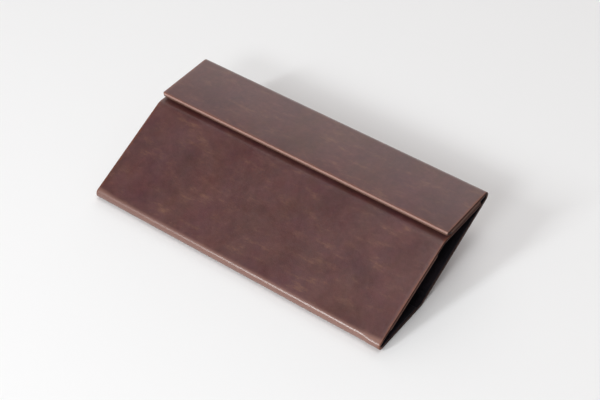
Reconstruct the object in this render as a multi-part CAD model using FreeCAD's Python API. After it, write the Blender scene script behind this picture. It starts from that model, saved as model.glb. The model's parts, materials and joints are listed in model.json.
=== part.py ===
import FreeCAD, Part
import math
import os

# A flat-folding leather sleeve case with a magnetic flap.
#
# One hide of leather is glued over four stiffeners and lined throughout. Its section is a leaning
# parallelogram: the base stands on the table, the front panel and the back panel lean the same way, and
# the top is a ledge and a lip with the flap lying over them. The hide turns round each fold line on
# an arc whose centre is the hinge line, so the panels stay tangent to their folds however far they turn.
#
# Axes: X along the case, Y from front to back, Z up. Origin: middle of the face that it stands on.
# The section is drawn in the YZ plane and every sub-part is drawn out along X.

# ---------------------------------------------------------------- driving dimensions, mm and degrees

CASE_LENGTH = 170.0

# thickness of each layer of the wall
LEATHER = 1.3
BOARD = 1.3
LINING = 0.45
FLAP_LINING = 0.9        # the flap is lined with a second skin of leather

# the parallelogram of hinge lines
SIDE_BAR = 54.1          # base fold line to top fold line, in front and behind
BASE_BAR = 32.0          # front fold line to rear fold line
LEAN_ANGLE = 25.5        # how far the front panel stands up from the base, as it is stored
BACK_SKEW_ANGLE = 1.8    # the back panel stands this much steeper than the front one
FOLD_RADIUS = 2.8        # outer face of the hide round each hinge line
FLATTEN_ANGLE = 18.0     # how much further the case folds down from here
ERECT_ANGLE = 62.0       # and how much further it opens into a box

# the lid: ledge, lip and flap
LEDGE = 5.5              # level strip between the crease and the lip
LIP_TIP_GAP = 2.9        # the lip's free edge stays this far short of the ridge line
LIP_SKIVE = 1.0          # and its lining this far short of its free edge
LID_GAP = 0.3            # air between the lip and the closed flap
FLAP_SETBACK = 2.4       # the flap's free edge lies this far behind the crease
CORNER_RADIUS = 1.0      # free corners of flap and lip
EDGE_ROUND = 0.35        # burnished raw edges of the hide

# where the stiffeners and the lining stop
FRONT_FOLD_GAP = 6.5     # short of the front fold, on the base and the front panel
REAR_FOLD_GAP = 3.5      # short of the rear fold, on the base and the back panel
CREASE_GAP = 5.0         # short of the crease
GUTTER_GAP = 6.0         # short of the gutter under the ridge
FLAP_FOLD_GAP = 4.0      # short of the ridge, on the flap
FLAP_BORDER = 2.5        # short of the flap's free edge, where hide and lining are pinched together
BOARD_INSET = 0.15       # in from the raw edges at both ends
LINING_INSET = 0.2       # in from the raw edges
FOLD_CLEARANCE = 0.3     # added to the stretch of wall that bends at the gutter

# closure
MAGNET_DIAMETER = 10.0
MAGNET_THICKNESS = 1.2
KEEPER_THICKNESS = 0.5
MAGNET_SPACING = 90.0    # between the two magnets
MAGNET_SETBACK = 9.5     # magnet centre from the flap's free edge
POCKET_CLEARANCE = 0.1   # round and over each disc

# ---------------------------------------------------------------- worked out from them

HALF_LENGTH = CASE_LENGTH / 2
BACK_ANGLE = LEAN_ANGLE + BACK_SKEW_ANGLE
FLAP_THICKNESS = LEATHER + BOARD + FLAP_LINING
TINY = 1e-4


def place(y, z, x=0.0):
    return FreeCAD.Vector(x, y, z)


def heading(angle):
    """Unit vector in the section, turned up from +Y."""
    turn = math.radians(angle)
    return place(math.cos(turn), math.sin(turn))


class Sheet:
    """A flat stretch of wall: s runs along it from its fold line, n goes inwards from the hide's face."""

    def __init__(self, fold_line, angle, inside):
        """inside is +1 where the case's inside is to the left of the way s runs, or -1 to the right."""
        self.along = heading(angle)
        self.inward = heading(angle + 90) * inside
        self.start = fold_line - self.inward * FOLD_RADIUS

    def point(self, s, n, x=0.0):
        return self.start + self.along * s + self.inward * n + place(0, 0, x)

    def s_of(self, point):
        return (point - self.start).dot(self.along)

    def n_of(self, point):
        return (point - self.start).dot(self.inward)


# hinge lines, as points in the section
FRONT_FOLD = place(-BASE_BAR / 2, FOLD_RADIUS)
REAR_FOLD = place(BASE_BAR / 2, FOLD_RADIUS)
CREASE = FRONT_FOLD + heading(LEAN_ANGLE) * SIDE_BAR
GUTTER = REAR_FOLD + heading(LEAN_ANGLE) * SIDE_BAR

base = Sheet(FRONT_FOLD, 0, 1)
front = Sheet(FRONT_FOLD, LEAN_ANGLE, -1)
back = Sheet(REAR_FOLD, BACK_ANGLE, 1)
top = Sheet(CREASE, 0, -1)

GUTTER_S = back.s_of(GUTTER)
GUTTER_DEPTH = back.n_of(GUTTER)

# the ridge's centre lies over the back panel's plane, so high that the closed flap clears the lip
RIDGE_Z = CREASE.z + LID_GAP + FLAP_THICKNESS
FOOT_OF_BACK = back.point(0, FOLD_RADIUS)
RIDGE_S = (RIDGE_Z - FOOT_OF_BACK.z) / back.along.z
RIDGE = back.point(RIDGE_S, FOLD_RADIUS)

flap = Sheet(RIDGE, 180, 1)

LIP_TIP = RIDGE.y - CREASE.y - LIP_TIP_GAP
FLAP_REACH = RIDGE.y - CREASE.y - FLAP_SETBACK


def bending_half(turn, reach):
    """Half of the stretch that bends when two flat stretches turn towards each other, each reaching
    this far past the hinge line on the closing side."""
    return reach * math.tan(math.radians(turn / 2))


# opening the case closes the gutter on the outside, flattening it closes the gutter on the inside
GUTTER_HALF = FOLD_CLEARANCE + max(
    bending_half(ERECT_ANGLE, GUTTER_DEPTH),
    bending_half(FLATTEN_ANGLE, LEATHER + LINING - GUTTER_DEPTH),
)


# ---------------------------------------------------------------- building blocks

def drawn_out(edges, length):
    """A closed outline in the section, drawn out along X and centred."""
    face = Part.Face(Part.Wire(edges))
    solid = face.extrude(place(0, 0, length))
    solid.translate(place(0, 0, -length / 2))
    return solid


def polygon(points):
    closed = points + points[:1]
    return Part.makePolygon(closed).Edges


def layer(sheet, corners, length):
    """A flat layer of the wall from its corners, each given as (s, n)."""
    return drawn_out(polygon([sheet.point(s, n) for s, n in corners]), length)


def bend(centre, first, last, inner, outer, length):
    """A layer that turns round a fold line, from one outward direction to the next, in degrees."""
    middle = (first + last) / 2
    a, b, c = (centre + heading(turn) * outer for turn in (first, middle, last))
    d, e, f = (centre + heading(turn) * inner for turn in (last, middle, first))
    edges = [
        Part.Arc(a, b, c).toShape(),
        Part.LineSegment(c, d).toShape(),
        Part.Arc(d, e, f).toShape(),
        Part.LineSegment(f, a).toShape(),
    ]
    return drawn_out(edges, length)


def hide_bend(centre, first, last):
    return bend(centre, first, last, FOLD_RADIUS - LEATHER, FOLD_RADIUS, CASE_LENGTH)


def lining_bend(centre, first, last):
    inner = FOLD_RADIUS - LEATHER - LINING
    outer = FOLD_RADIUS - LEATHER
    return bend(centre, first, last, inner, outer, CASE_LENGTH - 2 * LINING_INSET)


def trimmed(solid, sheet, free_s, inset):
    """Rounds the two corners at a layer's free edge; inner layers keep their inset round the corner."""
    radius = CORNER_RADIUS - inset
    x = HALF_LENGTH - inset
    far = free_s + 2 * CORNER_RADIUS
    for side in (-1, 1):
        centre = sheet.point(free_s - radius, 0, side * (x - radius))
        block = drawn_out(polygon([
            sheet.point(free_s - radius, -LEATHER),
            sheet.point(far, -LEATHER),
            sheet.point(far, 2 * FLAP_THICKNESS),
            sheet.point(free_s - radius, 2 * FLAP_THICKNESS),
        ]), 2 * radius)
        block.translate(place(0, 0, side * x))
        post = Part.makeCylinder(
            radius, 4 * FLAP_THICKNESS, centre - sheet.inward * (2 * FLAP_THICKNESS), sheet.inward)
        solid = solid.cut(block.cut(post))
    return solid


def burnished(solid, sheet, free_s=None):
    """Rounds the raw edges of a stretch of hide on its outer face, at both ends and at a free edge."""
    raw = []
    for edge in solid.Edges:
        if any(abs(sheet.n_of(v.Point)) > TINY for v in edge.Vertexes):
            continue
        centre = edge.CenterOfMass
        at_end = abs(centre.x) > HALF_LENGTH - CORNER_RADIUS
        at_free_edge = free_s is not None and abs(sheet.s_of(centre) - free_s) < TINY
        if at_end or at_free_edge:
            raw.append(edge)
    return solid.makeFillet(EDGE_ROUND, raw)


def hide(sheet, first, last, free=False):
    """A flat stretch of hide from s = first to s = last, with burnished raw edges."""
    corners = [(first, 0), (last, 0), (last, LEATHER), (first, LEATHER)]
    solid = layer(sheet, corners, CASE_LENGTH)
    if free:
        solid = trimmed(solid, sheet, last, 0)
    return burnished(solid, sheet, last if free else None)


def board(sheet, first, last):
    """A stiffener, skived at 45 degrees where the lining comes down to the hide."""
    low, high = LEATHER, LEATHER + BOARD
    corners = [(first, low), (last, low), (last - BOARD, high), (first + BOARD, high)]
    return layer(sheet, corners, CASE_LENGTH - 2 * BOARD_INSET)


def plain_lining(sheet, first, last, free=False):
    """Lining straight on the hide."""
    low, high = LEATHER, LEATHER + LINING
    corners = [(first, low), (last, low), (last, high), (first, high)]
    solid = layer(sheet, corners, CASE_LENGTH - 2 * LINING_INSET)
    return trimmed(solid, sheet, last, LINING_INSET) if free else solid


def lining_over_board(sheet, first, last, board_first, board_last, thickness=LINING):
    """Lining on the hide beyond a stiffener and over it between, the same thickness all along."""
    low, high = LEATHER, LEATHER + BOARD
    shift = thickness * math.tan(math.radians(22.5))
    return layer(sheet, [
        (first, low),
        (board_first, low),
        (board_first + BOARD, high),
        (board_last - BOARD, high),
        (board_last, low),
        (last, low),
        (last, low + thickness),
        (board_last + shift, low + thickness),
        (board_last - BOARD + shift, high + thickness),
        (board_first + BOARD - shift, high + thickness),
        (board_first - shift, low + thickness),
        (first, low + thickness),
    ], CASE_LENGTH - 2 * LINING_INSET)


def discs(sheet, s, n, diameter, thickness):
    """The pair of closure discs, their outer faces n inwards from the hide's face."""
    return [
        Part.makeCylinder(
            diameter / 2, thickness, sheet.point(s, n, side * MAGNET_SPACING / 2), sheet.inward)
        for side in (-1, 1)
    ]


def with_pockets(solid, cutters):
    for cutter in cutters:
        solid = solid.cut(cutter)
    return solid.removeSplitter()


# ---------------------------------------------------------------- sub-assemblies

def make_base():
    """The panel that the case stands on, with the front and rear folds."""
    board_ends = FRONT_FOLD_GAP, BASE_BAR - REAR_FOLD_GAP
    return {
        "base_leather": hide(base, 0, BASE_BAR),
        "base_board": board(base, *board_ends),
        "base_lining": lining_over_board(base, 0, BASE_BAR, *board_ends),
        "front_fold_leather": hide_bend(FRONT_FOLD, 90 + LEAN_ANGLE, 270),
        "front_fold_lining": lining_bend(FRONT_FOLD, 90 + LEAN_ANGLE, 270),
        "rear_fold_leather": hide_bend(REAR_FOLD, -90, BACK_ANGLE - 90),
        "rear_fold_lining": lining_bend(REAR_FOLD, -90, BACK_ANGLE - 90),
    }


def make_front_panel():
    """The sloping front panel, with the crease at its top."""
    board_ends = FRONT_FOLD_GAP, SIDE_BAR - CREASE_GAP
    return {
        "front_leather": hide(front, 0, SIDE_BAR),
        "front_board": board(front, *board_ends),
        "front_lining": lining_over_board(front, 0, SIDE_BAR, *board_ends),
        "crease_leather": hide_bend(CREASE, 90, 90 + LEAN_ANGLE),
        "crease_lining": lining_bend(CREASE, 90, 90 + LEAN_ANGLE),
    }


def make_back_panel():
    """The leaning back panel, and the gutter at its top, where the wall bends without a stiffener."""
    last = GUTTER_S - GUTTER_HALF
    board_ends = REAR_FOLD_GAP, GUTTER_S - GUTTER_GAP
    return {
        "back_leather": hide(back, 0, last),
        "back_board": board(back, *board_ends),
        "back_lining": lining_over_board(back, 0, last, *board_ends),
        "gutter_leather": hide(back, last, GUTTER_S + GUTTER_HALF),
        "gutter_lining": plain_lining(back, last, GUTTER_S + GUTTER_HALF),
    }


def make_ridge():
    """The strip of wall above the gutter and the round ridge that the flap turns on."""
    first = GUTTER_S + GUTTER_HALF
    return {
        "ridge_strip_leather": hide(back, first, RIDGE_S),
        "ridge_strip_lining": plain_lining(back, first, RIDGE_S),
        "ridge_fold_leather": hide_bend(RIDGE, BACK_ANGLE - 90, 90),
        "ridge_fold_lining": lining_bend(RIDGE, BACK_ANGLE - 90, 90),
    }


def make_ledge():
    """The level strip that shows in front of the flap."""
    return {
        "ledge_leather": hide(top, 0, LEDGE),
        "ledge_lining": plain_lining(top, 0, LEDGE),
    }


def make_lip():
    """The tongue under the flap, with a steel keeper under each magnet."""
    keeper_s = top.s_of(flap.point(FLAP_REACH - MAGNET_SETBACK, 0))
    pocket_n = LEATHER - KEEPER_THICKNESS - POCKET_CLEARANCE
    pockets = discs(top, keeper_s, pocket_n, MAGNET_DIAMETER + 2 * POCKET_CLEARANCE, LEATHER)
    keepers = discs(top, keeper_s, LEATHER - KEEPER_THICKNESS, MAGNET_DIAMETER, KEEPER_THICKNESS)
    return {
        "lip_leather": with_pockets(hide(top, LEDGE, LIP_TIP, free=True), pockets),
        "lip_lining": plain_lining(top, LEDGE, LIP_TIP - LIP_SKIVE, free=True),
        "lip_keepers": Part.makeCompound(keepers),
    }


def make_flap():
    """The flap, with two magnets let in against its lining."""
    magnet_s = FLAP_REACH - MAGNET_SETBACK
    magnet_n = LEATHER + BOARD - MAGNET_THICKNESS
    pocket_n = magnet_n - POCKET_CLEARANCE
    pockets = discs(flap, magnet_s, pocket_n, MAGNET_DIAMETER + 2 * POCKET_CLEARANCE, FLAP_THICKNESS)
    magnets = discs(flap, magnet_s, magnet_n, MAGNET_DIAMETER, MAGNET_THICKNESS)
    board_ends = FLAP_FOLD_GAP, FLAP_REACH - FLAP_BORDER
    lining_end = FLAP_REACH - LINING_INSET
    lining = lining_over_board(flap, 0, lining_end, *board_ends, FLAP_LINING)
    return {
        "flap_leather": with_pockets(hide(flap, 0, FLAP_REACH, free=True), pockets),
        "flap_board": with_pockets(board(flap, *board_ends), pockets),
        "flap_lining": trimmed(lining, flap, lining_end, LINING_INSET),
        "flap_magnets": Part.makeCompound(magnets),
    }


def report(name, point):
    print(f"{name}: y {point.y:.4f}, z {point.z:.4f}")


def main():
    os.makedirs("parts", exist_ok=True)
    makers = (make_base, make_front_panel, make_ledge, make_lip, make_back_panel, make_ridge, make_flap)
    for maker in makers:
        for node, shape in maker().items():
            shape.exportStep(f"parts/{node}.step")
            print(f"{node}: {shape.Volume:.1f} mm3, valid {shape.isValid()}")
    report("front fold line", FRONT_FOLD)
    report("rear fold line", REAR_FOLD)
    report("crease line", CREASE)
    report("gutter line", GUTTER)
    report("ridge line", RIDGE)
    report("lip bend line", top.point(LEDGE, 0))


main()
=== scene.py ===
import json
import logging
import math
from collections.abc import Callable, Sequence
from dataclasses import dataclass, replace
from enum import Enum

import bmesh
import bpy
from bmesh.types import BMEdge, BMesh, BMVert
from bpy.types import Material, Node, NodeSocket, NodeTree, Object
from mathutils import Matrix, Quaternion, Vector


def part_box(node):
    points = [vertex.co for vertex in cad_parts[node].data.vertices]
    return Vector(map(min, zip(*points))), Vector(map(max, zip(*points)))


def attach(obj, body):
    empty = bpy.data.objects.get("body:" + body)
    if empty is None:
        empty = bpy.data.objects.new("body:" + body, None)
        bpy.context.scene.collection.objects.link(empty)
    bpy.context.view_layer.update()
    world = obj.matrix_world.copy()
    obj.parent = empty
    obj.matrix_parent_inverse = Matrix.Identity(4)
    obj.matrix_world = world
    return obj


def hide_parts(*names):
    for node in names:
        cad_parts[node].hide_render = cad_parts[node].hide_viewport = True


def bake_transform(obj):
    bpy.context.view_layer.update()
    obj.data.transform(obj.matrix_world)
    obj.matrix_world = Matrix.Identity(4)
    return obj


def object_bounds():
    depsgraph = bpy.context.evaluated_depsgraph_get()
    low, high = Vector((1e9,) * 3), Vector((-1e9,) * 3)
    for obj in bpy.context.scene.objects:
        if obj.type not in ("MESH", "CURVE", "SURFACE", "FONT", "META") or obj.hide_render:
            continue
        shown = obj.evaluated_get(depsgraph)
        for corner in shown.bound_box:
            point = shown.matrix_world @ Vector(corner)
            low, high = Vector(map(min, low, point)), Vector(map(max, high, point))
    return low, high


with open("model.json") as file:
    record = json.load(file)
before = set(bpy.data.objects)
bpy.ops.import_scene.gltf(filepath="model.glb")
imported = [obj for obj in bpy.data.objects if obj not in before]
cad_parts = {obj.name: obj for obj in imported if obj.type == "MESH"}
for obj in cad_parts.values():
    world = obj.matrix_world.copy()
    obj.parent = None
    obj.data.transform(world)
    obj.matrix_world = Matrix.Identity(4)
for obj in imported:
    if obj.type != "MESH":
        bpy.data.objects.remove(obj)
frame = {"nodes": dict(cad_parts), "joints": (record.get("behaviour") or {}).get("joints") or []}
cad_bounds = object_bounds()

# A flat-folding sleeve case of waxed pull-up cowhide with a magnetic flap, dressed for viewing.
#
# The hide is one strip that goes round the case: lip, crease, front panel, front fold, base, rear fold,
# back panel, gutter, ridge, flap. Each piece here is one stretch of that strip, and every point of it
# keeps its place on the flat hide, so that the marks of the leather run on across the folds.

MM = 0.001

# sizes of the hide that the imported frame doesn't give
CREASE_RADIUS = 7.5 * MM     # grain face of the soft bend between front panel and ledge
REAR_RADIUS = 3.5 * MM       # grain face of the bend under the back panel
CORNER_RADIUS = 1.0 * MM     # free corners of lip and flap
EDGE_ROUND = 0.35 * MM       # raw edges, burnished round on the grain side

# two places along the strip that are no further apart than this are the same
SAME_PLACE = 1e-6

# the mesh attributes that the finishes read
PLACE = "hide_place"         # a point's place on the flat hide: across, along and under the grain face
WEAR_AND_LIGHT = "fold_wear_and_painted_light"           # how light a fold is, from 0 to 1: bending that has lightened the wax, and painted reflection and highlight

# sockets of the Mix node when it mixes colours
MIX_A = 6
MIX_B = 7
MIX_RESULT = 2

log = logging.getLogger("sleeve_case")


class Face(Enum):
    """The sides of a cut piece of hide or lining, in the order of its material slots."""

    OUTER = 0
    FREE_EDGE = 1
    INNER = 2
    END = 3


class FreeEdge(Enum):
    """Which end of a stretch of hide is a raw free edge with rounded corners."""

    NONE = 0
    FIRST = 1
    LAST = 2


# ---------------------------------------------------------------- small helpers

def linear(code: str) -> tuple[float, float, float, float]:
    """Turns an sRGB hex colour to linear light.

    Args:
        code: the colour as "#rrggbb".

    Returns:
        Red, green, blue and an alpha of 1.
    """
    channels = []
    for start in (1, 3, 5):
        value = int(code[start:start + 2], 16) / 255
        channels.append(value / 12.92 if value <= 0.04045 else ((value + 0.055) / 1.055) ** 2.4)
    red, green, blue = channels
    return red, green, blue, 1.0


def turned(angle: float) -> Vector:
    """Unit vector in the case's section, at this many degrees from +Y towards +Z."""
    turn = math.radians(angle)
    return Vector((0.0, math.cos(turn), math.sin(turn)))


def angle_of(direction: Vector) -> float:
    """The section angle of a direction, in degrees from +Y towards +Z."""
    return math.degrees(math.atan2(direction.z, direction.y))


def clamped(share: float) -> float:
    """A share, held between 0 and 1."""
    return min(1.0, max(0.0, share))


def eased(share: float) -> float:
    """A share from 0 to 1 that starts and ends softly."""
    held = clamped(share)
    return held * held * (3 - 2 * held)


def new_row(made: Sequence) -> list[BMEdge]:
    """Finds the row of edges that an operator has pulled out.

    Args:
        made: the points, edges and faces that the operator made.

    Returns:
        The edges whose two ends are both new.
    """
    points = {item for item in made if isinstance(item, BMVert)}
    return [item for item in made if isinstance(item, BMEdge) and points.issuperset(item.verts)]


def add_object(name: str, mesh: BMesh, materials: Sequence[Material]) -> Object:
    """Turns a worked mesh into an object with its materials.

    Args:
        name: the object's name.
        mesh: the mesh, which is freed.
        materials: its materials, in slot order.

    Returns:
        The object, linked to the scene.
    """
    data = bpy.data.meshes.new(name)
    mesh.to_mesh(data)
    mesh.free()
    for material in materials:
        data.materials.append(material)
    made = bpy.data.objects.new(name, data)
    bpy.context.scene.collection.objects.link(made)
    log.info("%s: %d faces", name, len(data.polygons))
    return made


def add_node(tree: NodeTree, kind: str, settings: dict | None = None, inputs: dict | None = None) -> Node:
    """Adds a node with its settings, values and links.

    Args:
        tree: the material's or world's node tree.
        kind: the node's type, without "ShaderNode".
        settings: properties of the node.
        inputs: for each input, by name or number, a value or the output socket to link to it.

    Returns:
        The new node.
    """
    node = tree.nodes.new("ShaderNode" + kind)
    for name, value in (settings or {}).items():
        setattr(node, name, value)
    for name, value in (inputs or {}).items():
        if isinstance(value, NodeSocket):
            tree.links.new(value, node.inputs[name])
        else:
            node.inputs[name].default_value = value
    return node


# ---------------------------------------------------------------- the section that the hide follows

@dataclass(frozen=True)
class Run:
    """A straight stretch of the hide's grain face, seen in the section.

    start, heading and length place it. path is how far along the whole strip it starts.
    """

    start: Vector
    heading: float
    length: float
    path: float

    @property
    def end(self) -> float:
        """How far along the whole strip the run ends."""
        return self.path + self.length

    def lowered(self, depth: float) -> "Run":
        """The same stretch of a layer further in."""
        return replace(self, start=self.start - turned(self.heading - 90) * depth)

    def part(self, first: float, last: float) -> "Run":
        """The stretch between two distances along the strip."""
        start = self.start + turned(self.heading) * (first - self.path)
        return replace(self, start=start, length=last - first, path=first)

    def locate(self, point: Vector) -> tuple[float, float, float]:
        """Finds a point's place on the strip.

        Args:
            point: a point of the section.

        Returns:
            How far the point lies beyond the stretch, its distance along the strip, and its depth.
        """
        offset = point - self.start
        offset.x = 0.0
        run = offset.dot(turned(self.heading))
        depth = -offset.dot(turned(self.heading - 90))
        return max(0.0, -run, run - self.length), self.path + run, depth

    def lay(self, mesh: BMesh, row: list[BMEdge], spacing: float) -> list[BMEdge]:
        """Pulls a row of edges along the run.

        Args:
            mesh: the mesh under work.
            row: the edges across the hide at the run's start.
            spacing: the widest step between two rows.

        Returns:
            The row of edges at the run's end.
        """
        steps = max(1, math.ceil(self.length / spacing - 1e-6))
        for _ in range(steps):
            made = bmesh.ops.extrude_edge_only(mesh, edges=row)["geom"]
            points = [item for item in made if isinstance(item, BMVert)]
            bmesh.ops.translate(mesh, verts=points, vec=turned(self.heading) * (self.length / steps))
            row = new_row(made)
        return row


@dataclass(frozen=True)
class Turn:
    """A bend of the grain face round a line along X, to the left of the way the strip runs.

    centre, radius, heading and angle place it. path is how far along the whole strip it starts, and
    grain_radius is the radius that lengths along the strip go by, whatever the layer.
    """

    centre: Vector
    radius: float
    heading: float
    angle: float
    path: float
    grain_radius: float

    @property
    def length(self) -> float:
        """The bend's length on the grain face."""
        return math.radians(self.angle) * self.grain_radius

    @property
    def end(self) -> float:
        """How far along the whole strip the bend ends."""
        return self.path + self.length

    @property
    def start(self) -> Vector:
        """Where the bend starts, in the section."""
        return self.centre + turned(self.heading - 90) * self.radius

    def lowered(self, depth: float) -> "Turn":
        """The same bend of a layer further in."""
        return replace(self, radius=self.radius - depth)

    def part(self, first: float, last: float) -> "Turn":
        """Takes a part of the bend.

        Args:
            first: where the part starts along the strip.
            last: where it ends.

        Returns:
            The part.
        """
        skipped = math.degrees((first - self.path) / self.grain_radius)
        kept = math.degrees((last - first) / self.grain_radius)
        return replace(self, heading=self.heading + skipped, angle=kept, path=first)

    def locate(self, point: Vector) -> tuple[float, float, float]:
        """Finds a point's place on the strip.

        Args:
            point: a point of the section.

        Returns:
            How far the point lies beyond the bend, its distance along the strip, and its depth.
        """
        offset = point - self.centre
        offset.x = 0.0
        swept = (angle_of(offset) - self.heading + 90 + 180) % 360 - 180
        if swept < self.angle / 2 - 180:
            swept += 360
        beyond = math.radians(max(0.0, -swept, swept - self.angle)) * self.grain_radius
        return beyond, self.path + math.radians(swept) * self.grain_radius, self.radius - offset.length

    def lay(self, mesh: BMesh, row: list[BMEdge], spacing: float, widest_turn: float = 7.0) -> list[BMEdge]:
        """Spins a row of edges round the bend.

        Args:
            mesh: the mesh under work.
            row: the edges across the hide at the bend's start.
            spacing: the widest step between two rows.
            widest_turn: the widest angle between two rows.

        Returns:
            The row of edges at the bend's end.
        """
        steps = max(2, math.ceil(self.angle / widest_turn), math.ceil(self.length / spacing))
        points = dict.fromkeys(vert for edge in row for vert in edge.verts)
        made = bmesh.ops.spin(
            mesh, geom=[*points, *row], cent=self.centre, axis=(1, 0, 0), dvec=(0, 0, 0),
            angle=math.radians(self.angle), steps=steps, use_merge=False, use_duplicate=False)
        return new_row(made["geom_last"])


@dataclass(frozen=True)
class Strip:
    """The hide's way round the case, or one layer or one cut piece of it."""

    stretches: tuple[Run | Turn, ...]

    @property
    def first(self) -> float:
        """Distance along the whole strip to this piece's start."""
        return self.stretches[0].path

    @property
    def last(self) -> float:
        """Distance along the whole strip to this piece's end."""
        return self.stretches[-1].end

    @property
    def start(self) -> Vector:
        """Where the piece starts, in the section."""
        return self.stretches[0].start

    @property
    def turns(self) -> list[Turn]:
        """The piece's bends, in their order."""
        return [stretch for stretch in self.stretches if isinstance(stretch, Turn)]

    def cut(self, first: float, last: float) -> "Strip":
        """Cuts out a piece.

        Args:
            first: where the piece starts along the strip.
            last: where it ends.

        Returns:
            The piece.
        """
        kept = []
        for stretch in self.stretches:
            start = max(first, stretch.path)
            end = min(last, stretch.end)
            if end - start > SAME_PLACE:
                kept.append(stretch.part(start, end))
        return Strip(tuple(kept))

    def lowered(self, depth: float) -> "Strip":
        """The same piece of a layer further in."""
        return Strip(tuple(stretch.lowered(depth) for stretch in self.stretches))

    def locate(self, point: Vector) -> tuple[float, float]:
        """Finds a point's place on the strip.

        Args:
            point: a point of the section.

        Returns:
            Its distance along the strip and its depth under this layer's outer face.
        """
        found = [stretch.locate(point) for stretch in self.stretches]
        _, path, depth = min(found, key=lambda place: place[0] + abs(place[2]))
        return path, depth


class StripWalk:
    """Lays out the strip stretch after stretch from its first raw edge."""

    def __init__(self, start: Vector, heading: float) -> None:
        """Starts at a point of the section.

        Args:
            start: the raw edge's outer corner.
            heading: which way the strip runs from there, in degrees.
        """
        self.point = start
        self.heading = heading
        self.path = 0.0
        self.stretches: list[Run | Turn] = []

    def run_to(self, target: Vector) -> None:
        """Goes straight on until level with a point.

        Args:
            target: the point.
        """
        length = (target - self.point).dot(turned(self.heading))
        self.stretches.append(Run(self.point, self.heading, length, self.path))
        self.point = self.point + turned(self.heading) * length
        self.path += length

    def turn(self, angle: float, radius: float) -> None:
        """Turns left round a line along X.

        Args:
            angle: how far, in degrees.
            radius: the bend's radius on the grain face.
        """
        centre = self.point - turned(self.heading - 90) * radius
        made = Turn(centre, radius, self.heading, angle, self.path, radius)
        self.stretches.append(made)
        self.heading += angle
        self.point = centre + turned(self.heading - 90) * radius
        self.path += made.length

    def strip(self) -> Strip:
        """The strip laid out so far."""
        return Strip(tuple(self.stretches))


# ---------------------------------------------------------------- finishes

@dataclass(frozen=True)
class Finish:
    """What a surface is made of. Each one lays its own nodes on a Principled shader."""

    name: str

    def material(self) -> Material:
        """Makes the finish's material the first time that it is asked for.

        Returns:
            The material.
        """
        found = bpy.data.materials.get(self.name)
        if found is not None:
            return found
        made = bpy.data.materials.new(self.name)
        made.use_nodes = True
        self.lay_nodes(made.node_tree, made.node_tree.nodes["Principled BSDF"])
        return made

    def lay_nodes(self, tree: NodeTree, shader: Node) -> None:
        """Adds the finish's pattern, and sets the shader."""
        raise NotImplementedError

    @staticmethod
    def set_surface(tree: NodeTree, shader: Node, colour: NodeSocket, height: NodeSocket,
                    relief: tuple[float, float], values: dict[str, float]) -> None:
        """Gives the shader its colour, its relief and the values that are the same all over.

        Args:
            tree: the material's node tree.
            shader: its Principled shader.
            colour: the output that gives the colour.
            height: the output that gives the relief's height, from 0 to 1.
            relief: how strongly the relief shows, and how deep it is.
            values: the shader's other inputs.
        """
        strength, deep = relief
        bump = add_node(tree, "Bump", None, {"Strength": strength, "Distance": deep, "Height": height})
        tree.links.new(colour, shader.inputs["Base Color"])
        tree.links.new(bump.outputs["Normal"], shader.inputs["Normal"])
        for name, value in values.items():
            shader.inputs[name].default_value = value


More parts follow.
